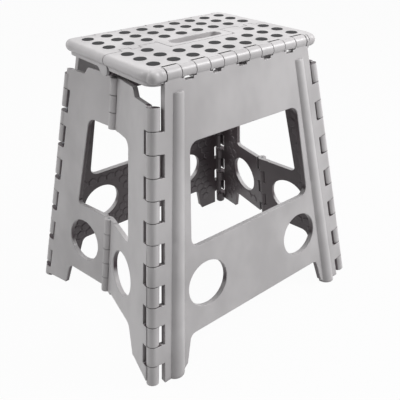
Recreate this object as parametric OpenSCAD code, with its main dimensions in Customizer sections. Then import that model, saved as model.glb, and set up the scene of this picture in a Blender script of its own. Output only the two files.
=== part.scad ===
// Folding step stool. The tread lifts at its middle, the front and back
// panels swing together and the end panels fold inwards between them.
// The stool stands on z = 0 with its long side along x.

/* [Stool] */
// Height from the floor to the top of the tread
stool_h = 390; // [330:5:450]
// Distance from the middle of the stool to a corner hinge at the floor, lengthways
foot_x = 187; // [165:1:210]
// Distance from the middle of the stool to a corner hinge at the floor, crossways
foot_y = 147; // [120:1:170]
// How far a corner hinge leans in lengthways over the height
splay_x = 61; // [40:1:75]
// How far a corner hinge leans in crossways over the height
splay_y = 56; // [45:1:65]
// How far the end panels are drawn in at the middle of their lower edge
draw_in = 16; // [12:1:24]

/* [Tread] */
// Length of the tread
tread_l = 280; // [274:1:310]
// Distance from the middle of the tread to the hinge rod at its long edge
rod_y = 94; // [90:1:104]
// Radius of the tread corners
corner_r = 20; // [16:1:24]
// Thickness of the tread skin
skin_t = 4; // [3:0.5:5]
// Radius of the rounded tread rim
rim_r = 7; // [5:0.5:8]
// Depth of the skirt from the top of the tread
skirt_h = 19; // [16:1:20]
// Depth of the folding axis below the top of the tread
fold_axis_h = 23; // [22:1:30]
// Width of the handle tab on the back tread
tab_w = 108; // [96:1:114]
// How far the handle tab reaches over the front tread
tab_reach = 27; // [25:1:30]
// Length of the hand slot
slot_l = 84; // [76:1:90]
// Width of the hand slot
slot_w = 20; // [18:1:22]

/* [Grip dots] */
// Number of dots in a row
dot_columns = 9; // [5:2:9]
// Distance between dots along a row
dot_pitch_x = 28.6; // [24:0.2:29]
// Distance between rows
dot_pitch_y = 26.8; // [22:0.2:27]
// Distance from the middle of the tread to the nearest row
dot_first_y = 21.4; // [20:0.2:22]
// Diameter of a dot
dot_d = 15.6; // [12:0.2:18]
// How far a dot is sunk into the tread
dot_sink = 2.2; // [1.5:0.1:2.4]
// How far a dot stands above the tread
dot_rise = 0.5; // [0.3:0.1:1]

/* [Panels] */
// Depth of the corner hinge axis behind the outer face, also the knuckle radius
knuckle_r = 8; // [7.5:0.25:9]
// Knuckle radius of the tread hinges
top_knuckle_r = 8.5; // [8:0.25:9]
// Knuckle radius of the hinge in the middle of an end panel
mid_knuckle_r = 6.5; // [5:0.25:7]
// Thickness of the front and back panels
panel_t = 7.5; // [6:0.25:7.5]
// Thickness of the end panels
gusset_t = 6.5; // [5:0.25:6.5]
// Depth of the top of the open window below the top of the tread
window_drop = 92; // [80:1:110]
// Top of the lower beam
beam_top = 163.5; // [150:0.5:180]
// Bottom of the lower beam
beam_bottom = 45.5; // [35:0.5:55]
// Diameter of the round holes in the lower beam
hole_d = 64; // [50:1:70]
// Height of the round holes
hole_z = 106; // [98:1:110]
// Distance of the round holes from the middle of the front panel
hole_x = 87.5; // [80:0.5:92]

/* [Hinges] */
// Depth of the top of the corner hinges below the top of the tread
hinge_drop = 41; // [35:1:70]
// Number of knuckles along a corner hinge
corner_knuckles = 13; // [9:2:15]
// Number of knuckles along the tread hinge between its corners
top_knuckles = 11; // [7:2:13]
// Diameter of the hinge rods
rod_d = 4; // [3:0.25:5]
// Radial clearance of a rod in a turning knuckle
rod_fit = 0.05; // [0.03:0.01:0.1]
// Gap between neighbouring knuckles
knuckle_gap = 0.8; // [0.5:0.1:1.2]
// Free play above each end knuckle on the back corner hinges
back_play = 6.4; // [6.2:0.1:8]
// Radial clearance of the rods in the hooked knuckles of the back panel
hook_fit = 1.4; // [1.2:0.1:2]

/* [Hidden] */
$fn = 64;

// Colours
shell_colour = "#c9c8c6";
tread_colour = "#dcdcda";
rubber_colour = "#3a3a3c";
steel_colour = "#a8abb0";

// General clearances and overruns
overrun = 1;
notch_gap = 2.5;
floor_cut = 60;
world = 900;

// The hinge lines of each end all point at one apex above the stool
apex_z = stool_h * foot_y / splay_y;
apex_x = foot_x - splay_x * apex_z / stool_h;
lean = atan(splay_y / stool_h);
slope_h = stool_h / cos(lean);
edge_lean = atan(splay_x / slope_h);
centre_x = foot_x - draw_in;
centre_lean = atan((centre_x - apex_x) / apex_z);
centre_run = apex_z / cos(centre_lean);
corner_run = norm([foot_x - apex_x, foot_y, apex_z]);
corner_rise = apex_z / corner_run;
centre_rise = apex_z / centre_run;

// An end panel turns outwards from the middle so that its outer face touches
// the corner knuckles half-way up the corner hinge
corner_span = norm([draw_in * cos(centre_lean), foot_y]);
touch_share = 0.8;
swing = atan(draw_in * cos(centre_lean) / foot_y)
      + asin(knuckle_r / touch_share / corner_span);

// Front and back panels
panel_inner = knuckle_r - panel_t;
edge_foot = 14;
edge_top = 118;
panel_top_drop = 4.5;
panel_top = stool_h - top_knuckle_r - panel_top_drop;
window_top = stool_h - window_drop;
window_foot_x = 108;
window_top_x = 93;
window_r = 13;
leg_gap_x = 124;
leg_gap_r = 10;
heel_x = 134.5;
heel_z = 7;
heel_flare_x = 142;
bead_foot_r = 13;
bead_top_r = 10.5;
bead_rise = 6;
bead_foot_x = 152;
bead_top_x = 101;
bead_drop = 32;
bead_top_z = stool_h - bead_drop;
strap_reach = 19;
slot_drop = 1;
slot_rise = 4;
slot_inset = 4.6;

// Corner hinge knuckles
hinge_start = 2.6;
hinge_top = stool_h - hinge_drop;
hinge_len = hinge_top / corner_rise - hinge_start;
knuckle_l = hinge_len / corner_knuckles;
rod_inset = 3;

// End panels, measured along the panel from its middle hinge and up it
gusset_edge = 1;
leg_w = 56;
gusset_window_drop = 6;
gusset_beam_drop = 6;
gusset_hole_s = 52;
gusset_hole_d = 62;
gusset_drop = 31;
gusset_top = stool_h - gusset_drop;
notch_w = 36;
notch_r = 8;
gusset_beam_bottom = 53;
gusset_leg_w = 55;
front_foot_w = 38;
back_foot_w = 50;
gusset_foot_z = 13;
gusset_heel_z = 6;
gusset_leg_r = 12;
mid_row_l = 67;
mid_row_inset = 1;
mid_row_reach = 5;
mid_upper_top = gusset_top - mid_row_inset;
mid_lower_bottom = gusset_beam_bottom - mid_row_reach;
mid_lower_top = beam_top - mid_row_inset / 2;
mid_upper_knuckles = 3;
mid_lower_knuckles = 5;
mid_gap = 0.8;

// Tread
tread_half = tread_l / 2;
rod_z = stool_h - top_knuckle_r;
rim_z = stool_h - rim_r;
fold_z = stool_h - fold_axis_h;
corner_cx = tread_half - corner_r;
corner_cy = rod_y + top_knuckle_r - corner_r;
knuckle_zone = 115;
top_knuckle_l = 2 * knuckle_zone / top_knuckles;
end_knuckle_x = 116;
rod_half = 122;
seam_y = -5.5;
finger_reach = 8.5;
finger_w = 14.5;
finger_spans = [[tab_w / 2, 2 * finger_w], [tab_w / 2 + 3 * finger_w, finger_w]];
seam_gap = 1;
skirt_inset = 5;
skirt_t = 3;
rib_t = 2.4;
rib_h = 14;
rib_pitch = 38;
front_wall = 12;
slot_y = -9;
tab_t = 12;
tab_back = 8;
tab_corner_r = 5;
ear_r = 6;
ear_t = 5;
ear_gap = 0.8;
tongue_r = 9;
tongue_y = 4;
tongue_rise = 3;
tongue_far = 17;
tongue_turn = 20;
outer_ear_x = 135;
inner_ear_x = 66;
pin_end = 0.6;

// The tongue's lower edge passes the skirt of the front half this far from
// the folding axis when the stool is folded
skirt_rise = fold_axis_h - skirt_h;
tongue_pass = tongue_y + sqrt(pow(tongue_r, 2) - pow(tongue_rise + skirt_rise, 2));
tongue_room = norm([tongue_pass, skirt_rise]) + seam_gap;

// A convex outline with its corners rounded by true arcs
function unit(v) = v / norm(v);
function turn_cos(a, p, b) = unit(a - p) * unit(b - p);
function half_angle(a, p, b) = acos(turn_cos(a, p, b)) / 2;
module rounded(points, radii) {
    n = len(points);
    before = [for (i = [0 : n - 1]) points[(i + n - 1) % n]];
    after = [for (i = [0 : n - 1]) points[(i + 1) % n]];
    polygon([for (i = [0 : n - 1])
        let (p = points[i], reach = radii[i] / tan(half_angle(before[i], p, after[i])))
        each [p + reach * unit(before[i] - p), p + reach * unit(after[i] - p)]]);
    for (i = [0 : n - 1])
        if (radii[i] > 0)
            translate(points[i] + radii[i] / sin(half_angle(before[i], points[i], after[i]))
                      * unit(unit(before[i] - points[i]) + unit(after[i] - points[i])))
                circle(r = radii[i]);
}

// Frames
// The front panel: x along the stool, y up the panel, z out of its face,
// with the corner hinge axes in its plane z = 0
module on_front_panel() {
    translate([0, -foot_y, 0])
        rotate([90 - lean, 0, 0])
            children();
}
// The left front corner hinge: y up the axis, x into the front panel
module on_corner() {
    on_front_panel()
        translate([-foot_x, 0, 0])
            rotate([0, 0, -edge_lean])
                children();
}
// The left front end panel: x from its middle hinge towards the corner,
// y up the middle hinge, z into the stool from its outer face
module on_gusset() {
    translate([-centre_x, 0, 0])
        rotate([0, centre_lean, 0])
            mirror([0, 1, 0])
                rotate([0, 0, swing])
                    rotate([90, 0, 90])
                        children();
}
module to_back() { mirror([0, 1, 0]) children(); }
module to_right() { mirror([1, 0, 0]) children(); }
module both_ends() {
    children();
    to_right() children();
}
module below_floor() {
    translate([-world / 2, -world / 2, -floor_cut])
        cube([world, world, floor_cut]);
}
// Height above the floor, measured up a panel or a middle hinge
function up_panel(z) = z / cos(lean);
function up_centre(z) = z / centre_rise;
// Distance along an end panel from its middle hinge to the corner hinge
function corner_s(h) = corner_span * cos(asin(knuckle_r / touch_share / corner_span))
                     * (1 - h / centre_run);

// A rod or knuckle along y
module along_y(from, to, r) {
    translate([0, from, 0])
        rotate([-90, 0, 0])
            cylinder(r = r, h = to - from);
}
// Corner knuckles: those with an even index belong to the end panel
function knuckle_from(i) = hinge_start + i * knuckle_l + knuckle_gap / 2;
function knuckle_to(i) = hinge_start + (i + 1) * knuckle_l - knuckle_gap / 2;
corner_top = hinge_start + hinge_len;

// Front and back panel
module panel_outline() {
    foot = foot_x - edge_foot;
    start = -up_panel(floor_cut) / 4;
    spread = (foot - edge_top) / panel_top;
    polygon([[-foot + spread * start, start], [foot - spread * start, start],
             [edge_top, up_panel(panel_top)], [-edge_top, up_panel(panel_top)]]);
}
module panel_window() {
    rounded([[-window_foot_x, up_panel(beam_top)], [window_foot_x, up_panel(beam_top)],
             [window_top_x, up_panel(window_top)], [-window_top_x, up_panel(window_top)]],
            [window_r, window_r, window_r, window_r]);
}
module leg_gap() {
    low = -up_panel(floor_cut);
    rounded([[-heel_x, low], [heel_x, low],
             [heel_x, up_panel(heel_z)], [leg_gap_x, up_panel(beam_bottom)],
             [-leg_gap_x, up_panel(beam_bottom)], [-heel_x, up_panel(heel_z)]],
            [0, 0, 0, leg_gap_r, leg_gap_r, 0]);
    polygon([[-heel_flare_x, low], [-heel_flare_x, 0], [-heel_x, up_panel(heel_z)],
             [heel_x, up_panel(heel_z)], [heel_flare_x, 0], [heel_flare_x, low]]);
}
module panel_plate() {
    translate([0, 0, panel_inner])
        linear_extrude(panel_t)
            difference() {
                panel_outline();
                panel_window();
                leg_gap();
                for (side = [-1, 1])
                    translate([side * hole_x, up_panel(hole_z)])
                        circle(d = hole_d);
            }
}
// Rounded bead down each leg, widening towards the foot, with a round top end
module bead() {
    foot = [-bead_foot_x, 0];
    top = [-bead_top_x, up_panel(bead_top_z)];
    angle = atan((top.x - foot.x) / (top.y - foot.y));
    sink = bead_foot_r - bead_rise;
    length = norm(top - foot);
    start = -floor_cut / 4;
    start_r = bead_foot_r + (bead_foot_r - bead_top_r) * floor_cut / 4 / length;
    intersection() {
        translate([foot.x, foot.y, knuckle_r - sink])
            rotate([0, 0, -angle]) {
                translate([0, start, 0])
                    rotate([-90, 0, 0])
                        cylinder(r1 = start_r, r2 = bead_top_r, h = length - start);
                translate([0, length, 0])
                    sphere(r = bead_top_r);
            }
        translate([-foot_x, -floor_cut / 2, panel_inner])
            cube([foot_x, slope_h, world]);
    }
}
module panel_knuckle(i) {
    from = knuckle_from(i);
    length = knuckle_to(i) - from;
    along_y(from, from + length, knuckle_r);
    translate([0, from, panel_inner])
        cube([strap_reach, length, panel_t]);
}
module along_x(from, to) {
    translate([from, 0, 0])
        rotate([90, 0, 90])
            linear_extrude(to - from)
                children();
}
function top_from(i) = -knuckle_zone + i * top_knuckle_l + knuckle_gap / 2;
function top_to(i) = -knuckle_zone + (i + 1) * top_knuckle_l - knuckle_gap / 2;
module rod_hole(fit) {
    translate([-world / 2, -rod_y, rod_z])
        rotate([0, 90, 0])
            cylinder(r = rod_d / 2 + fit, h = world);
}
// Clear space round the tread's knuckles, with a slot below each one
module top_notch(i) {
    from = top_from(i) - knuckle_gap;
    to = top_to(i) + knuckle_gap;
    translate([from, -rod_y, rod_z])
        rotate([0, 90, 0])
            cylinder(r = top_knuckle_r + seam_gap, h = to - from);
    knuckle_slot(from, to);
}
// Slot through the lower side of a tread knuckle and the panel edge below it
module knuckle_slot(from, to) {
    translate([from + slot_inset, -rod_y - 2 * top_knuckle_r, rod_z - top_knuckle_r - slot_drop])
        cube([to - from - 2 * slot_inset, 4 * top_knuckle_r, slot_drop + slot_rise]);
}
module side_panel() {
    difference() {
        union() {
            on_front_panel() {
                panel_plate();
                both_ends() bead();
            }
            both_ends()
                on_corner()
                    for (i = [1 : 2 : corner_knuckles - 2])
                        panel_knuckle(i);
            for (i = [0 : 2 : top_knuckles - 1])
                along_x(top_from(i), top_to(i))
                    translate([-rod_y, rod_z])
                        circle(r = top_knuckle_r);
        }
        for (i = [-1 : 2 : top_knuckles])
            top_notch(i);
        rod_hole(0);
        below_floor();
    }
}
module front_panel() {
    color(shell_colour)
        difference() {
            side_panel();
            both_ends()
                on_corner()
                    along_y(0, corner_top + knuckle_l, rod_d / 2);
        }
}
// The back panel holds the rods of the end panels in hooks that open inwards
module back_panel() {
    hook_r = rod_d / 2 + hook_fit;
    color(shell_colour)
        to_back()
            difference() {
                side_panel();
                both_ends()
                    on_corner() {
                        along_y(0, corner_top + knuckle_l, hook_r);
                        translate([-hook_r, 0, -knuckle_r - overrun])
                            cube([2 * hook_r, corner_top + knuckle_l, knuckle_r + overrun]);
                    }
            }
}

// End panels
module gusset_outline(foot_w) {
    low = -floor_cut / 4;
    top = up_centre(gusset_top);
    step = up_centre(hinge_top);
    difference() {
        polygon([[gusset_edge, low], [corner_s(low), low],
                 [corner_s(step), step], [corner_s(step) - notch_w, step],
                 [corner_s(step) - notch_w - notch_r, top], [gusset_edge, top]]);
        gusset_window();
        gusset_leg_cut(foot_w);
        polygon([[0, low - overrun], [world, low - overrun], [world, up_centre(gusset_heel_z)],
                 [corner_s(0), up_centre(gusset_heel_z)],
                 [corner_s(0) - foot_w, up_centre(gusset_foot_z)],
                 [0, up_centre(gusset_foot_z)]]);
        translate([gusset_hole_s, up_centre(hole_z)])
            circle(d = gusset_hole_d);
    }
}
module gusset_window() {
    low = up_centre(beam_top) + gusset_beam_drop / 3;
    high = up_centre(window_top - gusset_window_drop);
    rounded([[-leg_w, low], [corner_s(low) - leg_w, low - gusset_beam_drop],
             [corner_s(high) - leg_w, high], [-leg_w, high]],
            [0, window_r / 2, window_r, 0]);
}
module gusset_leg_cut(foot_w) {
    low = -floor_cut;
    high = up_centre(gusset_beam_bottom) + gusset_beam_drop / 3;
    foot = corner_s(0) - foot_w;
    rounded([[-leg_w, low], [foot, low], [foot, 0],
             [corner_s(high) - gusset_leg_w, high - gusset_beam_drop], [-leg_w, high]],
            [0, 0, 0, gusset_leg_r, 0]);
}
// Middle hinge rows: [bottom, top, number of knuckles]
mid_rows = [[mid_lower_bottom, mid_lower_top, mid_lower_knuckles],
            [mid_upper_top - mid_row_l, mid_upper_top, mid_upper_knuckles]];
function mid_l(row) = up_centre(row[1] - row[0]) / row[2];
function mid_from(row, i) = up_centre(row[0]) + i * mid_l(row) + mid_gap / 2;
function mid_to(row, i) = mid_from(row, i) + mid_l(row) - mid_gap;
module mid_knuckle(row, i) {
    along_y(mid_from(row, i), mid_to(row, i), mid_knuckle_r);
    translate([0, mid_from(row, i), 0])
        cube([mid_knuckle_r * 2 + notch_gap, mid_to(row, i) - mid_from(row, i), gusset_t]);
}
module mid_notch(row, i) {
    reach = mid_knuckle_r + mid_gap;
    translate([-reach, mid_from(row, i) - mid_gap, -reach])
        cube([2 * reach, mid_to(row, i) - mid_from(row, i) + 2 * mid_gap, 2 * reach + gusset_t]);
}
// An end panel; first is 0 where its middle knuckles are the end ones of each
// row and 1 where they are the ones between. Room is the gap round the knuckles
// of the front or back panel
module gusset(first, play, room, foot_w, corner_bore) {
    difference() {
        union() {
            difference() {
                on_gusset()
                    linear_extrude(gusset_t)
                        gusset_outline(foot_w);
                on_corner()
                    for (i = [1 : 2 : corner_knuckles - 2])
                        corner_notch(i, play, room);
            }
            on_corner()
                for (i = [0 : 2 : corner_knuckles - 1])
                    along_y(knuckle_from(i), knuckle_to(i) - play, knuckle_r);
            on_gusset()
                for (row = mid_rows)
                    for (i = [first : 2 : row[2] - 1])
                        mid_knuckle(row, i);
        }
        on_gusset()
            for (row = mid_rows) {
                for (i = [1 - first : 2 : row[2] - 1])
                    mid_notch(row, i);
                along_y(up_centre(row[0]) - overrun, up_centre(row[1]) + overrun,
                        rod_d / 2 + (first == 0 ? 0 : rod_fit));
            }
        on_corner()
            along_y(0, corner_top + knuckle_l, corner_bore);
        below_floor();
    }
}
// Clear space round a knuckle of the front or back panel
module corner_notch(i, play, room) {
    reach = knuckle_r + room;
    translate([-2 * reach, knuckle_from(i) - knuckle_gap - play, -reach])
        cube([3 * reach, knuckle_to(i) - knuckle_from(i) + 2 * knuckle_gap + play, 2 * reach]);
}
module front_gusset() {
    color(shell_colour)
        gusset(0, 0, notch_gap, front_foot_w, rod_d / 2 + rod_fit);
}
module back_gusset() {
    color(shell_colour)
        to_back()
            gusset(1, back_play, notch_gap + hook_fit, back_foot_w, rod_d / 2);
}
module left_front_gusset() { front_gusset(); }
module right_front_gusset() { to_right() front_gusset(); }
module left_back_gusset() { back_gusset(); }
module right_back_gusset() { to_right() back_gusset(); }

// Tread. Both halves are drawn as the front one: the rod side is at negative y
// and the seam near y = 0
module slab(from, to) {
    translate([0, 0, from])
        linear_extrude(to - from)
            children();
}
module tread_plan(inset) {
    r = corner_r - inset;
    for (side = [-1, 1])
        translate([side * corner_cx, -corner_cy])
            circle(r = r);
    translate([-tread_half + inset, -corner_cy])
        square([tread_l - 2 * inset, corner_cy + 2 * tab_reach]);
    translate([-corner_cx, -corner_cy - r])
        square([2 * corner_cx, r]);
}
// The rounded rim round the ends and corners
module rim() {
    for (side = [-1, 1]) {
        translate([side * (tread_half - rim_r), tab_reach, rim_z])
            rotate([90, 0, 0])
                cylinder(r = rim_r, h = corner_cy + tab_reach);
        translate([side * corner_cx, -corner_cy, rim_z])
            intersection() {
                rotate_extrude()
                    translate([corner_r - rim_r, 0])
                        circle(r = rim_r);
                translate([side > 0 ? 0 : -corner_r, -corner_r, -rim_r])
                    cube([corner_r, corner_r, 2 * rim_r]);
            }
    }
}
module skirt() {
    slab(stool_h - skirt_h, rim_z)
        difference() {
            tread_plan(skirt_inset);
            tread_plan(skirt_inset + skirt_t);
            translate([-corner_cx, -rod_y - corner_r])
                square([2 * corner_cx, corner_r + front_wall]);
        }
}
module ribs() {
    low = stool_h - skin_t - rib_h;
    wall_x = tread_half - skirt_inset - skirt_t / 2;
    front_y = front_wall - rod_y;
    slab(low, stool_h - skin_t) {
        for (x = [-floor(wall_x / rib_pitch) : floor(wall_x / rib_pitch)])
            translate([x * rib_pitch - rib_t / 2, front_y])
                square([rib_t, 2 * rod_y]);
        for (y = [front_y, front_y + rib_pitch * 0.75])
            translate([-wall_x, y])
                square([2 * wall_x, rib_t]);
    }
}
// Knuckles on the rod, between those of the panel
module tread_knuckles() {
    for (i = [1 : 2 : top_knuckles - 2])
        along_x(top_from(i), top_to(i)) {
            translate([-rod_y, rod_z])
                circle(r = top_knuckle_r);
            translate([-rod_y, rod_z - top_knuckle_r / 2])
                square([front_wall + rib_t, top_knuckle_r * 1.5]);
        }
    both_ends() {
        along_x(end_knuckle_x, corner_cx + top_knuckle_r)
            translate([-rod_y, rod_z])
                circle(r = top_knuckle_r);
        translate([corner_cx + top_knuckle_r, -rod_y, rod_z])
            sphere(r = top_knuckle_r);
    }
}
// Clear space round a knuckle of the panel
module edge_notch(i) {
    reach = top_knuckle_r + seam_gap;
    width = top_to(i) - top_from(i) + 2 * knuckle_gap;
    translate([top_from(i) - knuckle_gap, -rod_y, rod_z])
        rotate([0, 90, 0])
            cylinder(r = reach, h = width);
    translate([top_from(i) - knuckle_gap, -rod_y - 2 * reach, rod_z - 2 * reach])
        cube([width, 2 * reach, 4 * reach]);
}
module dots(full_first_row, rise) {
    slab(stool_h - dot_sink, stool_h + rise)
        for (row = [0 : 2])
            for (column = [0 : dot_columns - 1]) {
                x = (column - (dot_columns - 1) / 2) * dot_pitch_x;
                if (row > 0 || full_first_row || abs(x) > tab_w / 2 + dot_d / 2)
                    translate([x, -dot_first_y - row * dot_pitch_y])
                        circle(d = dot_d);
            }
}
// The shell of a half, with no seam yet
module tread_shell() {
    slab(stool_h - skin_t, stool_h)
        tread_plan(rim_r);
    rim();
    skirt();
    ribs();
}
// Fingers of the front half that reach over the middle, grown by a margin
module fingers(grow) {
    for (side = [-1, 1])
        for (span = finger_spans)
            translate([side > 0 ? span[0] - grow : -span[0] - span[1] - grow,
                       seam_y - overrun])
                square([span[1] + 2 * grow, finger_reach + overrun + grow]);
}
module tab_plan(grow) {
    translate([-tab_w / 2 - grow, -tab_reach - grow])
        square([tab_w + 2 * grow, 2 * tab_reach]);
}
// An ear hangs below the seam and holds the folding axis. Its leg rises from
// the axis to the skin between y = near and y = far
module ear(from, near, far) {
    along_x(from, from + ear_t) {
        translate([0, fold_z])
            circle(r = ear_r);
        polygon([[near, stool_h - skin_t], [far, stool_h - skin_t],
                 [far, stool_h - skirt_h],
                 [sign(far) * ear_r * cos(45), fold_z - ear_r * sin(45)],
                 [0, fold_z], [near, fold_z + ear_r * 0.9]]);
    }
}
// The tongue, the back tread's outer ear, shows below the rim at each end
module tongue() {
    middle = [-tongue_y, fold_z + tongue_rise];
    along_x(back_outer_ear, outer_ear_x) {
        translate(middle)
            circle(r = tongue_r);
        polygon([[middle.x + tongue_r, middle.y], [middle.x + tongue_r, stool_h - skin_t],
                 [-tongue_far, stool_h - skin_t], [-tongue_far, stool_h - skirt_h],
                 [middle.x - tongue_r * cos(tongue_turn),
                  middle.y - tongue_r * sin(tongue_turn)]]);
    }
}
// Clear space round an ear or tongue of the other half
module ear_room(from, to, r) {
    translate([from - ear_gap / 2, 0, fold_z])
        rotate([0, 90, 0])
            cylinder(r = r, h = to - from + ear_gap);
}
module fold_bore(from, to, fit) {
    translate([from, 0, fold_z])
        rotate([0, 90, 0])
            cylinder(r = rod_d / 2 + fit, h = to - from);
}
// Ears at the ends and beside the handle tab; the back tread's are outside
front_outer_ear = outer_ear_x - 2 * ear_t - ear_gap;
back_outer_ear = outer_ear_x - ear_t;
front_inner_ear = inner_ear_x + ear_t + ear_gap;
back_inner_ear = inner_ear_x;

module front_tread() {
    edge = seam_y - seam_gap / 2;
    leg_far = edge - 2 * ear_r;
    wall_end = back_outer_ear - ear_gap;
    wall_low = stool_h - skin_t - rib_h;
    tab_edge = tab_w / 2 + seam_gap / 2;
    color(tread_colour)
        difference() {
            union() {
                intersection() {
                    tread_shell();
                    slab(0, stool_h)
                        difference() {
                            union() {
                                translate([-world / 2, -world / 2])
                                    square([world, world / 2 + edge]);
                                fingers(-seam_gap / 2);
                            }
                            tab_plan(seam_gap / 2);
                        }
                }
                tread_knuckles();
                slab(wall_low, stool_h - skin_t) {
                    for (side = [-1, 1])
                        translate([side > 0 ? tab_edge : -wall_end, edge - rib_t])
                            square([wall_end - tab_edge, rib_t]);
                    difference() {
                        tab_plan(seam_gap / 2 + rib_t);
                        tab_plan(seam_gap / 2);
                        translate([-world / 2, edge])
                            square([world, world]);
                    }
                }
                both_ends() {
                    ear(front_outer_ear, edge, leg_far);
                    ear(front_inner_ear, edge, leg_far);
                }
            }
            for (i = [0 : 2 : top_knuckles - 1])
                edge_notch(i);
            for (i = [1 : 2 : top_knuckles - 2])
                knuckle_slot(top_from(i) - knuckle_gap, top_to(i) + knuckle_gap);
            dots(false, overrun);
            tread_rod_bore();
            both_ends() {
                fold_bore(front_outer_ear - overrun, front_outer_ear + ear_t + overrun, 0);
                fold_bore(front_inner_ear - overrun, front_inner_ear + ear_t + overrun, 0);
                ear_room(back_inner_ear, back_inner_ear + ear_t, ear_r + seam_gap);
                ear_room(back_outer_ear, tread_half, tongue_room);
            }
        }
}
module tread_rod_bore() {
    half = rod_half + pin_end;
    translate([-half, -rod_y, rod_z])
        rotate([0, 90, 0])
            cylinder(r = rod_d / 2 + rod_fit, h = 2 * half);
}
// The hand slot, with the block of the handle tab round it
module slot_plan() {
    end_r = slot_w / 2 - overrun / 2;
    translate([0, -slot_y])
        rounded([[-slot_l / 2, -slot_w / 2], [slot_l / 2, -slot_w / 2],
                 [slot_l / 2, slot_w / 2], [-slot_l / 2, slot_w / 2]],
                [end_r, end_r, end_r, end_r]);
}
module tab_block() {
    corner = tab_corner_r;
    rounded([[-tab_w / 2 + seam_gap / 2, -tab_back], [tab_w / 2 - seam_gap / 2, -tab_back],
             [tab_w / 2 - seam_gap / 2, tab_reach - seam_gap / 2],
             [-tab_w / 2 + seam_gap / 2, tab_reach - seam_gap / 2]],
            [0, 0, corner, corner]);
}
module back_tread() {
    edge = -seam_y - seam_gap / 2;
    finger_edge = -seam_y - finger_reach - seam_gap / 2;
    wall_low = stool_h - skin_t - rib_h;
    color(tread_colour)
        to_back()
            difference() {
                union() {
                    intersection() {
                        tread_shell();
                        slab(0, stool_h)
                            difference() {
                                translate([-world / 2, -world / 2])
                                    square([world, world / 2 + edge]);
                                mirror([0, 1, 0])
                                    fingers(seam_gap / 2);
                                translate([-tab_w / 2, -tab_back])
                                    square([tab_w, 2 * tab_reach]);
                            }
                    }
                    slab(stool_h - tab_t, stool_h)
                        tab_block();
                    tread_knuckles();
                    slab(wall_low, stool_h - skin_t)
                        for (side = [-1, 1])
                            translate([side > 0 ? tab_w / 2 - rib_t : skirt_t - outer_ear_x,
                                       finger_edge - rib_t])
                                square([outer_ear_x - skirt_t - tab_w / 2 + rib_t, rib_t]);
                    both_ends() {
                        tongue();
                        ear(back_inner_ear, finger_edge, finger_edge - 2 * ear_r);
                    }
                }
                for (i = [0 : 2 : top_knuckles - 1])
                    edge_notch(i);
                for (i = [1 : 2 : top_knuckles - 2])
                    knuckle_slot(top_from(i) - knuckle_gap, top_to(i) + knuckle_gap);
                slab(stool_h - tab_t - overrun, stool_h + overrun)
                    slot_plan();
                dots(true, overrun);
                tread_rod_bore();
                both_ends() {
                    fold_bore(back_outer_ear - overrun, back_outer_ear + ear_t - skirt_t / 2,
                              rod_fit);
                    fold_bore(back_inner_ear - overrun, back_inner_ear + ear_t + overrun, rod_fit);
                    ear_room(front_inner_ear, front_inner_ear + ear_t, ear_r + seam_gap);
                    ear_room(front_outer_ear, front_outer_ear + ear_t, ear_r + seam_gap);
                }
            }
}
module front_tread_dots() {
    color(rubber_colour)
        dots(false, dot_rise);
}
module back_tread_dots() {
    color(rubber_colour)
        to_back()
            dots(true, dot_rise);
}

// Rods and pins
module tread_rod() {
    color(steel_colour)
        translate([-rod_half, -rod_y, rod_z])
            rotate([0, 90, 0])
                cylinder(d = rod_d, h = 2 * rod_half);
}
module front_tread_rod() { tread_rod(); }
module back_tread_rod() { to_back() tread_rod(); }
module end_fold_pins() {
    color(steel_colour)
        both_ends()
            fold_bore(front_outer_ear, back_outer_ear + ear_t - skirt_t / 2 - pin_end, 0);
}
module inner_fold_pins() {
    color(steel_colour)
        both_ends()
            fold_bore(back_inner_ear, front_inner_ear + ear_t, 0);
}
module corner_rod() {
    color(steel_colour)
        on_corner()
            along_y(hinge_start + rod_inset, corner_top - rod_inset, rod_d / 2);
}
module left_front_corner_rod() { corner_rod(); }
module right_front_corner_rod() { to_right() corner_rod(); }
module left_back_corner_rod() { to_back() corner_rod(); }
module right_back_corner_rod() { to_right() to_back() corner_rod(); }
module centre_pin(row) {
    color(steel_colour)
        on_gusset()
            along_y(up_centre(row[0]) + mid_gap, up_centre(row[1]) - mid_gap, rod_d / 2);
}
module left_lower_centre_pin() { centre_pin(mid_rows[0]); }
module left_upper_centre_pin() { centre_pin(mid_rows[1]); }
module right_lower_centre_pin() { to_right() centre_pin(mid_rows[0]); }
module right_upper_centre_pin() { to_right() centre_pin(mid_rows[1]); }

front_panel();
back_panel();
front_tread();
back_tread();
front_tread_dots();
back_tread_dots();
left_front_gusset();
left_back_gusset();
right_front_gusset();
right_back_gusset();
front_tread_rod();
back_tread_rod();
end_fold_pins();
inner_fold_pins();
left_front_corner_rod();
right_front_corner_rod();
left_back_corner_rod();
right_back_corner_rod();
left_lower_centre_pin();
left_upper_centre_pin();
right_lower_centre_pin();
right_upper_centre_pin();
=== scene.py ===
"""Folding step stool: its finishes, inner cells, floor, light and camera, made
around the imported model. Lengths are in millimetres, and MM turns them to metres."""
import math

import bpy
from mathutils import Matrix, Vector


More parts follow.
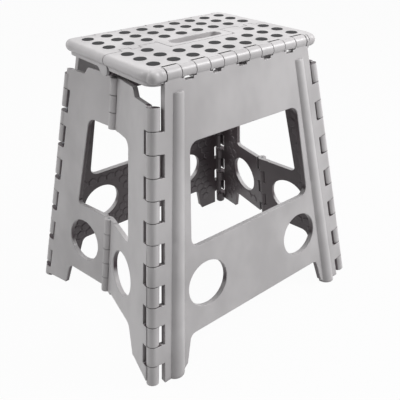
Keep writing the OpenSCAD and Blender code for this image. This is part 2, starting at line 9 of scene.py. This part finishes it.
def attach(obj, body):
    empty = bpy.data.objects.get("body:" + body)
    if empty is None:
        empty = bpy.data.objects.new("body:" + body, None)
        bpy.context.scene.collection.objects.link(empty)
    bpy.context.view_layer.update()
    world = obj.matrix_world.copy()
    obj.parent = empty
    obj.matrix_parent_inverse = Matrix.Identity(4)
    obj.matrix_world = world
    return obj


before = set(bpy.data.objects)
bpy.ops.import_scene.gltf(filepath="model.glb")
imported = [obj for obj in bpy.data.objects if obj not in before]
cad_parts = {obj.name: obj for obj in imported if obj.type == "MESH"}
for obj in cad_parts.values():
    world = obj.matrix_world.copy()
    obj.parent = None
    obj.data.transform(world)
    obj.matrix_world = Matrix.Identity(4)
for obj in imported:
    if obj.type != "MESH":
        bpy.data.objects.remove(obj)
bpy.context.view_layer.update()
MM = 0.001
X = Vector((1, 0, 0))
Y = Vector((0, 1, 0))
Z = Vector((0, 0, 1))

# Camera of the photograph, which is square; angles in degrees
PHOTO_PX = 400
FOCAL_PX = 546.06
AXIS_PX = (192.9, 162.8)
AZIMUTH = -38.4
ELEVATION = 26.53
ROLL = -0.77
DISTANCE = 815.71
TARGET_Z = 200
SENSOR_W = 36

# Hinge lines: their places at the floor and how far they lean in over the
# height. The corner and middle hinges of an end all point at one place above
HEIGHT = 390
FOOT_X, FOOT_Y = 187, 147
SPLAY_X, SPLAY_Y = 61, 56
CENTRE_X = 171
KNUCKLE_R = 8
MEET_Z = HEIGHT * FOOT_Y / SPLAY_Y
MEET_X = FOOT_X - SPLAY_X * MEET_Z / HEIGHT
LEAN = math.atan(SPLAY_Y / HEIGHT)
CENTRE_LEAN = math.atan((CENTRE_X - MEET_X) / MEET_Z)

# An end panel turns outwards from its middle hinge until its outer face
# touches the corner knuckles, at TOUCH_SHARE of the way down from that place
TOUCH_SHARE = 0.8
DRAWN_IN = (FOOT_X - CENTRE_X) * math.cos(CENTRE_LEAN)
CORNER_SPAN = math.hypot(DRAWN_IN, FOOT_Y)
TOUCH_TURN = math.asin(KNUCKLE_R / TOUCH_SHARE / CORNER_SPAN)
SWING = math.atan(DRAWN_IN / FOOT_Y) + TOUCH_TURN

# Where x, y and z are positive, the outer faces look along these directions
# and lie this far from the origin
PANEL_OUT = math.cos(LEAN) * Y + math.sin(LEAN) * Z
PANEL_FACE = FOOT_Y * PANEL_OUT.y + KNUCKLE_R
END_OUT = (math.cos(SWING) * (math.cos(CENTRE_LEAN) * X + math.sin(CENTRE_LEAN) * Z)
           - math.sin(SWING) * Y)
END_FACE = CENTRE_X * END_OUT.x

# Front and back panel: heights, half widths at the floor or the window's sill,
# and what a half width loses with each millimetre of height
PANEL_T = 7.5
PLATE_FOOT_X, PLATE_TOP_X, PLATE_TOP_Z = 173, 118, 377
BEAM_BOTTOM_Z, BEAM_TOP_Z, WINDOW_TOP_Z = 45.5, 163.5, 298
WINDOW_X, WINDOW_TAPER = 108, 0.111
ARCH_X, ARCH_TAPER = 134, 0.2
HOLE_X, HOLE_Z, HOLE_R = 87.5, 106, 32

# End panels: s from the middle hinge towards the corner, h up that hinge
END_T = 6.5
END_SILL_H, END_WINDOW_TOP_H, END_LEG_W = 160, 295, 56
END_ARCH_TOP_H, END_ARCH_S, END_ARCH_TAPER = 56, 109.5, 0.44
END_HOLE_S, END_HOLE_H, END_HOLE_R = 52, 107, 31

# Raised cells on the inner faces, and where they stop
CELL_PITCH = 16
CELL_GROOVE = 2.2
CELL_SLOPE = 1.1
CELL_RISE = 1
CELL_SIDES = 6
CELLS_TOP = 330
PANEL_CELLS_BOTTOM, END_CELLS_BOTTOM = 8, 14
PLATE_EDGE_ROOM = 6
MIDDLE_HINGE_ROOM, CORNER_HINGE_ROOM = 13, 21

# Masks change over FADE. The ribbed side of a plate, where shade is painted,
# starts a little under its outer face, stops below its top edge and keeps clear
# of the hinges; walls of openings that face up are left out, as they catch the
# light
FADE = 1
RIBBED_TOP = 331
RIBS_START, RIBS_WHOLE = 0.9, 1.4
PANEL_WALLS_X = 137
END_WALLS_Y, END_WALLS_TAPER = 118, 0.141
MIDDLE_HINGE_Y = 17

# Cosines of the angle between a face and a direction, at which a mask is 0
# and 1
FACES_IN = (-0.3, -0.6)
FACES_ALONG = (0.6, 0.4)
FACES_NOT_UP = (0.55, 0.25)
KNUCKLE_FACES_IN = (0.1, -0.1)

# Ribbed underside of the tread, where shade is painted, inside its skirt and
# clear of the handle tab
SKIRT_INNER_X, SKIRT_INNER_Y = 131, 84
UNDERSIDE_START, UNDERSIDE_WHOLE = 385.9, 385.4
TAB_X, TAB_Y = 52, 27

# Colours, with two tones where the surface varies between them
SKIN = ("#e3e0e1", "#d0cdce")
# The next colour is painted shade for the ribbed inside of the plates and the tread's underside
INSIDE_SHADE = ("#6a5f63", "#5d5357")
# The next colour is painted shade for the cells on the inner faces
CELL_SHADE = ("#72686c", "#61585c")
# The next colour is painted shade for creases and joints
CREASE_SHADE = "#3d383a"
RUBBER = ("#121214", "#202022")
STEEL = ("#9a9ca0", "#b4b6ba")
PAPER = "#c8c8c8"
WHITE = (1, 1, 1, 1)

# Polypropylene. Clouds of tone are drawn out upwards, and the noise between
# CLOUD_TONES blends the two tones. Shade is painted into creases and joints: it
# begins where the start share of the space round a point is open, and is darkest
# where the darkest share is. The grain changes the roughness and the height of
# the skin
PLASTIC_IOR = 1.49
CLOUD_W = 60
CLOUD_DRAW = 0.65
CLOUD_TONES = (0.3, 0.7)
CREASE_SHADE_REACH = 6
CREASE_SHADE_START, CREASE_SHADE_DARKEST = 0.9, 0.3
CREASE_SHADE_MOST = 0.5
GRAIN_W = 0.9
GRAIN_DEPTH = 0.12
GRAIN_STRENGTH = 0.4
GRAIN_ROUGHNESS = (0.27, 0.4)
SOFT_EDGE_R = 1.5

# Rubber and its grain
RUBBER_IOR = 1.5
RUBBER_ROUGHNESS = 0.85
RUBBER_GRAIN_W = 0.8
RUBBER_GRAIN_DEPTH = 0.1

# Steel and its drawing lines, which are 1 / LINE_DRAW times as long as wide
STEEL_ROUGHNESS = 0.36
LINE_W = 0.4
LINE_DRAW = 0.05

# Floor, sky and soft round lamps, whose place and width are in metres and
# whose power is in watts
FLOOR_REACH_M = 6
FLOOR_GLOW = 0.965
SKY_STRENGTH = 0.15
LAMPS = {
    "key": ((1.05, -0.9, 1.3), 0.7, 19),
    "rear": ((-1.2, 0.75, 1.3), 0.8, 7.6),
    "overhead": ((-0.1, 0.1, 1.7), 0.8, 4.8),
}


# Materials
def linear(text):
    """An sRGB hex value as linear red, green, blue and alpha."""
    values = [int(text[i:i + 2], 16) / 255 for i in (1, 3, 5)]
    return [v / 12.92 if v <= 0.04045 else ((v + 0.055) / 1.055) ** 2.4 for v in values] + [1]


def add(material, kind, inputs=None, **settings):
    """Adds a node, sets its properties and fills or links its inputs."""
    node = material.node_tree.nodes.new(kind)
    for name, value in settings.items():
        setattr(node, name, value)
    for socket, value in (inputs or {}).items():
        if isinstance(value, bpy.types.NodeSocket):
            material.node_tree.links.new(value, node.inputs[socket])
        else:
            node.inputs[socket].default_value = value
    return node


def with_empty_tree(holder):
    """Readies a new material or world for its own nodes."""
    holder.use_nodes = True
    holder.node_tree.nodes.clear()
    return holder


def octant(material):
    """Place in millimetres and normal of a point, turned into the octant where
    x and y are positive, so that one mask serves the mirrored parts."""
    coordinates = add(material, "ShaderNodeTexCoord").outputs
    positive = add(material, "ShaderNodeVectorMath", {0: coordinates["Object"]},
                   operation="ABSOLUTE").outputs["Vector"]
    place = add(material, "ShaderNodeVectorMath", {0: positive, "Scale": 1 / MM},
                operation="SCALE").outputs["Vector"]
    sign = add(material, "ShaderNodeVectorMath", {0: coordinates["Object"]},
               operation="SIGN").outputs["Vector"]
    normal = add(material, "ShaderNodeVectorMath", {0: coordinates["Normal"], 1: sign},
                 operation="MULTIPLY").outputs["Vector"]
    return place, normal


def region(material, *edges, within=1):
    """Mask of what lies beyond all of the edges. An edge is a vector, the
    direction it is measured along and the measures where it is 0 and 1."""
    mask = within
    for vector, direction, off, on in edges:
        measure = add(material, "ShaderNodeVectorMath", {0: vector, 1: direction},
                      operation="DOT_PRODUCT").outputs["Value"]
        beyond = add(material, "ShaderNodeMapRange",
                     {"Value": measure, "From Min": off, "From Max": on},
                     interpolation_type="SMOOTHSTEP").outputs["Result"]
        mask = add(material, "ShaderNodeMath", {0: mask, 1: beyond},
                   operation="MULTIPLY").outputs[0]
    return mask


def plate_inside_shade(out, face, *openings):
    """Maker of a mask of a plate's ribbed side: its inner face, the walls of its
    openings and the inner half of its corner knuckles. The outer face looks
    along out, at the distance face. Each of the openings is an edge in place."""
    # the mask marks where a darker colour is painted as shade
    def mask(material):
        place, normal = octant(material)
        below_top = (place, Z, RIBBED_TOP + FADE, RIBBED_TOP)
        inner = region(material, below_top, (normal, out, *FACES_IN))
        walls = region(
            material, below_top, (place, out, face - RIBS_START, face - RIBS_WHOLE),
            (normal, out, *FACES_ALONG), (normal, -out, *FACES_ALONG),
            (normal, Z, *FACES_NOT_UP),
            *((place, direction, off, on) for direction, off, on in openings))
        plate = add(material, "ShaderNodeMath", {0: inner, 1: walls},
                    operation="MAXIMUM").outputs[0]
        edge_x, edge_y = FOOT_X - KNUCKLE_R, FOOT_Y - KNUCKLE_R
        knuckles = region(material,
                          (place, X + SPLAY_X / HEIGHT * Z, edge_x - FADE, edge_x),
                          (place, Y + SPLAY_Y / HEIGHT * Z, edge_y - FADE, edge_y))
        inwards = region(material, (normal, (X + Y).normalized(), *KNUCKLE_FACES_IN))
        return add(material, "ShaderNodeMix",
                   {"Factor": knuckles, "A": plate, "B": inwards}).outputs["Result"]
    return mask


def tread_inside_shade(material):
    """Mask of the ribbed underside, where shade is painted, inside the skirt and away from the
    tab.
    """
    place = octant(material)[0]
    off_tab = add(material, "ShaderNodeMath",
                  {0: region(material, (place, X, TAB_X, TAB_X + FADE)),
                   1: region(material, (place, Y, TAB_Y, TAB_Y + FADE))},
                  operation="MAXIMUM").outputs[0]
    return region(material, (place, X, SKIRT_INNER_X + FADE, SKIRT_INNER_X),
                  (place, Y, SKIRT_INNER_Y + FADE, SKIRT_INNER_Y),
                  (place, Z, UNDERSIDE_START, UNDERSIDE_WHOLE), within=off_tab)


def moulded_polypropylene(name, tones, inside_shade_mask=None):
    """Polypropylene, injection moulded in a spark-eroded tool: an even, matt
    skin with a fine grain and soft highlights along rounded edges. The mask maker
    given last marks the ribbed side, where a darker colour is painted as the shade
    inside the stool."""
    material = with_empty_tree(bpy.data.materials.new(name))
    place = add(material, "ShaderNodeTexCoord").outputs["Object"]
    # the flow of the melt leaves clouds of tone
    drawn = add(material, "ShaderNodeMapping",
                {"Vector": place, "Scale": (1, 1, CLOUD_DRAW)}).outputs["Vector"]
    flow = add(material, "ShaderNodeTexNoise",
               {"Vector": drawn, "Scale": 1 / (CLOUD_W * MM), "Detail": 3}).outputs["Fac"]
    cloud = add(material, "ShaderNodeMapRange",
                {"Value": flow, "From Min": CLOUD_TONES[0], "From Max": CLOUD_TONES[1]},
                interpolation_type="SMOOTHSTEP").outputs["Result"]
    colour = add(material, "ShaderNodeMix",
                 {"Factor": cloud, "A": linear(tones[0]), "B": linear(tones[1])},
                 data_type="RGBA").outputs["Result"]
    # the ribbed side gets a darker colour painted as the shade inside the stool
    if inside_shade_mask:
        ribbed = add(material, "ShaderNodeMix",
                     {"Factor": cloud, "A": linear(INSIDE_SHADE[0]), "B": linear(INSIDE_SHADE[1])},
                     data_type="RGBA").outputs["Result"]
        colour = add(material, "ShaderNodeMix",
                     {"Factor": inside_shade_mask(material), "A": colour, "B": ribbed},
                     data_type="RGBA").outputs["Result"]
    # painted shade darkens each crease and joint, where little space round a point is open
    open_share = add(material, "ShaderNodeAmbientOcclusion", {"Distance": CREASE_SHADE_REACH * MM},
                     samples=6).outputs["AO"]
    crease_shade = add(material, "ShaderNodeMapRange",
               {"Value": open_share, "From Min": CREASE_SHADE_START, "From Max": CREASE_SHADE_DARKEST,
                "To Max": CREASE_SHADE_MOST}).outputs["Result"]
    crease_shaded = add(material, "ShaderNodeMix", {"Factor": crease_shade, "A": colour, "B": linear(CREASE_SHADE)},
                data_type="RGBA").outputs["Result"]
    # the grain is about 0.3 mm on the real part, and GRAIN_W is as fine as shows here
    grain = add(material, "ShaderNodeTexNoise",
                {"Vector": place, "Scale": 1 / (GRAIN_W * MM), "Detail": 2}).outputs["Fac"]
    soft = add(material, "ShaderNodeBevel", {"Radius": SOFT_EDGE_R * MM},
               samples=4).outputs["Normal"]
    bump = add(material, "ShaderNodeBump",
               {"Height": grain, "Strength": GRAIN_STRENGTH, "Distance": GRAIN_DEPTH * MM,
                "Normal": soft}).outputs["Normal"]
    rough = add(material, "ShaderNodeMapRange",
                {"Value": grain, "To Min": GRAIN_ROUGHNESS[0],
                 "To Max": GRAIN_ROUGHNESS[1]}).outputs["Result"]
    plastic = add(material, "ShaderNodeBsdfPrincipled",
                  {"Base Color": crease_shaded, "Roughness": rough, "Normal": bump,
                   "IOR": PLASTIC_IOR})
    add(material, "ShaderNodeOutputMaterial", {"Surface": plastic.outputs["BSDF"]})
    return material


def soft_rubber():
    """Thermoplastic rubber, moulded into the tread: near black and dull."""
    material = with_empty_tree(bpy.data.materials.new("grip_rubber"))
    place = add(material, "ShaderNodeTexCoord").outputs["Object"]
    grain = add(material, "ShaderNodeTexNoise",
                {"Vector": place, "Scale": 1 / (RUBBER_GRAIN_W * MM), "Detail": 2}).outputs["Fac"]
    tone = add(material, "ShaderNodeMix",
               {"Factor": grain, "A": linear(RUBBER[0]), "B": linear(RUBBER[1])},
               data_type="RGBA").outputs["Result"]
    bump = add(material, "ShaderNodeBump",
               {"Height": grain, "Strength": GRAIN_STRENGTH,
                "Distance": RUBBER_GRAIN_DEPTH * MM}).outputs["Normal"]
    rubber = add(material, "ShaderNodeBsdfPrincipled",
                 {"Base Color": tone, "Roughness": RUBBER_ROUGHNESS, "Normal": bump,
                  "IOR": RUBBER_IOR})
    add(material, "ShaderNodeOutputMaterial", {"Surface": rubber.outputs["BSDF"]})
    return material


def drawn_steel():
    """Zinc-plated drawn steel wire: grey metal with fine lines along it."""
    material = with_empty_tree(bpy.data.materials.new("drawn_steel"))
    place = add(material, "ShaderNodeTexCoord").outputs["Object"]
    long_way = add(material, "ShaderNodeMapping",
                   {"Vector": place, "Scale": (1, 1, LINE_DRAW)}).outputs["Vector"]
    lines = add(material, "ShaderNodeTexNoise",
                {"Vector": long_way, "Scale": 1 / (LINE_W * MM), "Detail": 2}).outputs["Fac"]
    tone = add(material, "ShaderNodeMix",
               {"Factor": lines, "A": linear(STEEL[0]), "B": linear(STEEL[1])},
               data_type="RGBA").outputs["Result"]
    steel = add(material, "ShaderNodeBsdfPrincipled",
                {"Base Color": tone, "Metallic": 1, "Roughness": STEEL_ROUGHNESS})
    add(material, "ShaderNodeOutputMaterial", {"Surface": steel.outputs["BSDF"]})
    return material


def dress_nodes():
    """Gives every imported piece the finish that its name's last word calls for."""
    panel = moulded_polypropylene("panel_polypropylene", SKIN, plate_inside_shade(
        PANEL_OUT, PANEL_FACE,
        (X + WINDOW_TAPER * Z, PANEL_WALLS_X + FADE, PANEL_WALLS_X)))
    end_panel = moulded_polypropylene("end_panel_polypropylene", SKIN, plate_inside_shade(
        END_OUT, END_FACE,
        (Y + END_WALLS_TAPER * Z, END_WALLS_Y + FADE, END_WALLS_Y),
        (Y, MIDDLE_HINGE_Y - FADE, MIDDLE_HINGE_Y)))
    tread = moulded_polypropylene("tread_polypropylene", SKIN, tread_inside_shade)
    steel = drawn_steel()
    finishes = {"panel": panel, "gusset": end_panel, "tread": tread, "dots": soft_rubber(),
                "rod": steel, "pin": steel, "pins": steel}
    for name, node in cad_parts.items():
        node.data.materials.clear()
        node.data.materials.append(finishes[name.split("_")[-1]])


# Raised cells on the inner faces, one mesh for each moving part
def panel_holds(u, v, margin):
    """True if a point of the front panel lies on its plate, with a margin."""
    z = v * math.cos(LEAN)
    edge = PLATE_FOOT_X - (PLATE_FOOT_X - PLATE_TOP_X) * z / PLATE_TOP_Z
    on_plate = (abs(u) <= edge - PLATE_EDGE_ROOM - margin
                and PANEL_CELLS_BOTTOM + margin < z < CELLS_TOP - margin)
    in_window = (BEAM_TOP_Z - margin < z < WINDOW_TOP_Z + margin
                 and abs(u) < WINDOW_X - (z - BEAM_TOP_Z) * WINDOW_TAPER + margin)
    in_arch = z < BEAM_BOTTOM_Z + margin and abs(u) < ARCH_X - z * ARCH_TAPER + margin
    in_hole = math.hypot(abs(u) - HOLE_X, v - HOLE_Z / math.cos(LEAN)) <= HOLE_R + margin
    return on_plate and not (in_window or in_arch or in_hole)


def end_panel_holds(s, h, margin):
    """True if a point of an end panel lies on its plate, with a margin."""
    corner = CORNER_SPAN * math.cos(TOUCH_TURN) * (1 - h * math.cos(CENTRE_LEAN) / MEET_Z)
    on_plate = (MIDDLE_HINGE_ROOM + margin < s < corner - CORNER_HINGE_ROOM - margin
                and END_CELLS_BOTTOM + margin < h < CELLS_TOP - margin)
    in_window = (END_SILL_H - margin < h < END_WINDOW_TOP_H + margin
                 and s < corner - END_LEG_W + margin)
    in_arch = h < END_ARCH_TOP_H + margin and s < END_ARCH_S - h * END_ARCH_TAPER + margin
    in_hole = math.hypot(s - END_HOLE_S, h - END_HOLE_H) <= END_HOLE_R + margin
    return on_plate and not (in_window or in_arch or in_hole)


def cell_ring(u, v, radius, level):
    """Corners of one cell at one level, in the frame of its plate."""
    turns = [math.tau * (corner + 0.5) / CELL_SIDES for corner in range(CELL_SIDES)]
    return [Vector((u + radius * math.cos(turn), v + radius * math.sin(turn), level))
            for turn in turns]


def cells(body, place, holds, level, material):
    """Low six-sided pads in staggered rows over the inner face of one plate.
    Place turns the plate's frame to the stool's, and level is that face's z."""
    reach = (CELL_PITCH - CELL_GROOVE) / math.sqrt(3)
    row_pitch = CELL_PITCH * math.sqrt(3) / 2
    columns = math.ceil(FOOT_X / CELL_PITCH)
    vertices, faces = [], []
    for row in range(math.ceil(HEIGHT / row_pitch)):
        for column in range(-columns, columns + 1):
            u = (column + row % 2 / 2) * CELL_PITCH
            v = row * row_pitch
            if not holds(u, v, reach):
                continue
            foot = [len(vertices) + corner for corner in range(CELL_SIDES)]
            top = [corner + CELL_SIDES for corner in foot]
            ring = (cell_ring(u, v, reach, level)
                    + cell_ring(u, v, reach - CELL_SLOPE, level + CELL_RISE))
            vertices += [place @ (point * MM) for point in ring]
            faces.append(top)
            faces += [[foot[i - 1], foot[i], top[i], top[i - 1]] for i in range(CELL_SIDES)]
    # a mirrored frame turns faces inside out
    if place.determinant() < 0:
        faces = [face[::-1] for face in faces]
    mesh = bpy.data.meshes.new(body + "_cells")
    mesh.from_pydata(vertices, [], faces)
    mesh.materials.append(material)
    piece = bpy.data.objects.new(body + "_cells", mesh)
    bpy.context.scene.collection.objects.link(piece)
    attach(piece, body)


def all_cells():
    """The cells of all six plates, mirrored from the front panel and the left
    front end panel."""
    # the cells get a darker colour painted as the shade inside the stool
    pads = moulded_polypropylene("ribbed_polypropylene", CELL_SHADE)
    # z of both frames points into the stool
    panel = (Matrix.Translation(-FOOT_Y * MM * Y)
             @ Matrix.Rotation(math.pi / 2 - LEAN, 4, "X") @ Matrix.Diagonal((1, 1, -1, 1)))
    end_panel = (Matrix.Translation(-CENTRE_X * MM * X) @ Matrix.Rotation(CENTRE_LEAN, 4, "Y")
                 @ Matrix.Diagonal((1, -1, 1, 1)) @ Matrix.Rotation(SWING, 4, "Z")
                 @ Matrix.Rotation(math.pi / 2, 4, "Z") @ Matrix.Rotation(math.pi / 2, 4, "X"))
    for side, y_sign in (("front", 1), ("back", -1)):
        cells(side + "_panel", Matrix.Diagonal((1, y_sign, 1, 1)) @ panel, panel_holds,
              PANEL_T - KNUCKLE_R, pads)
        for end, x_sign in (("left", 1), ("right", -1)):
            cells(f"{end}_{side}_gusset", Matrix.Diagonal((x_sign, y_sign, 1, 1)) @ end_panel,
                  end_panel_holds, END_T, pads)


# Floor, light and camera
def background_rays(material):
    """1 where a ray from the camera, a mirror image or a view through the
    part meets the surface."""
    path = add(material, "ShaderNodeLightPath").outputs
    rays = path["Is Camera Ray"]
    for kind in ("Is Glossy Ray", "Is Transmission Ray"):
        rays = add(material, "ShaderNodeMath", {0: rays, 1: path[kind]},
                   operation="MAXIMUM").outputs[0]
    return rays


def studio_floor():
    """Matt white paper. Seen directly it is nearly white and keeps the shadow."""
    material = with_empty_tree(bpy.data.materials.new("paper_floor"))
    paper = add(material, "ShaderNodeBsdfDiffuse", {"Color": linear(PAPER)}).outputs[0]
    glow = add(material, "ShaderNodeEmission", {"Color": WHITE, "Strength": 1}).outputs[0]
    share = add(material, "ShaderNodeMath", {0: background_rays(material), 1: FLOOR_GLOW},
                operation="MULTIPLY").outputs[0]
    mixed = add(material, "ShaderNodeMixShader", {0: share, 1: paper, 2: glow}).outputs[0]
    add(material, "ShaderNodeOutputMaterial", {"Surface": mixed})
    mesh = bpy.data.meshes.new("floor")
    mesh.from_pydata([(x * FLOOR_REACH_M, y * FLOOR_REACH_M, 0)
                      for x, y in ((-1, -1), (1, -1), (1, 1), (-1, 1))], [], [(0, 1, 2, 3)])
    mesh.materials.append(material)
    floor = bpy.data.objects.new("floor", mesh)
    bpy.context.scene.collection.objects.link(floor)


def studio_sky():
    """Dim light from all around, white where it is seen."""
    world = with_empty_tree(bpy.data.worlds.new("studio"))
    bpy.context.scene.world = world
    strength = add(world, "ShaderNodeMapRange",
                   {"Value": background_rays(world), "To Min": SKY_STRENGTH,
                    "To Max": 1}).outputs["Result"]
    sky = add(world, "ShaderNodeBackground", {"Color": WHITE, "Strength": strength}).outputs[0]
    add(world, "ShaderNodeOutputWorld", {"Surface": sky})


def studio_lamps():
    """Soft round lamps that all point at the middle of the stool."""
    for name, (place, width, power) in LAMPS.items():
        data = bpy.data.lights.new(name, "AREA")
        data.shape = "DISK"
        data.size = width
        data.energy = power
        light = bpy.data.objects.new(name, data)
        light.location = place
        to_stool = TARGET_Z * MM * Z - Vector(place)
        light.rotation_euler = to_stool.to_track_quat("-Z", "Y").to_euler()
        bpy.context.scene.collection.objects.link(light)


def photo_camera():
    """Camera that stood where the photograph was taken."""
    azimuth, elevation, roll = (math.radians(v) for v in (AZIMUTH, ELEVATION, ROLL))
    back = Vector((math.sin(azimuth) * math.cos(elevation),
                   -math.cos(azimuth) * math.cos(elevation), math.sin(elevation)))
    right = (-back).cross(Z).normalized()
    up = right.cross(-back)
    rolled_right = right * math.cos(roll) + up * math.sin(roll)
    rolled_up = up * math.cos(roll) - right * math.sin(roll)
    data = bpy.data.cameras.new("camera")
    data.sensor_width = SENSOR_W
    data.lens = FOCAL_PX * SENSOR_W / PHOTO_PX
    data.shift_x = 0.5 - AXIS_PX[0] / PHOTO_PX
    data.shift_y = AXIS_PX[1] / PHOTO_PX - 0.5
    camera = bpy.data.objects.new("camera", data)
    camera.matrix_world = (Matrix.Translation((TARGET_Z * Z + DISTANCE * back) * MM)
                           @ Matrix((rolled_right, rolled_up, back)).transposed().to_4x4())
    bpy.context.scene.collection.objects.link(camera)
    bpy.context.scene.camera = camera


dress_nodes()
all_cells()
studio_floor()
studio_sky()
studio_lamps()
photo_camera()
bpy.context.scene.view_settings.view_transform = "Standard"
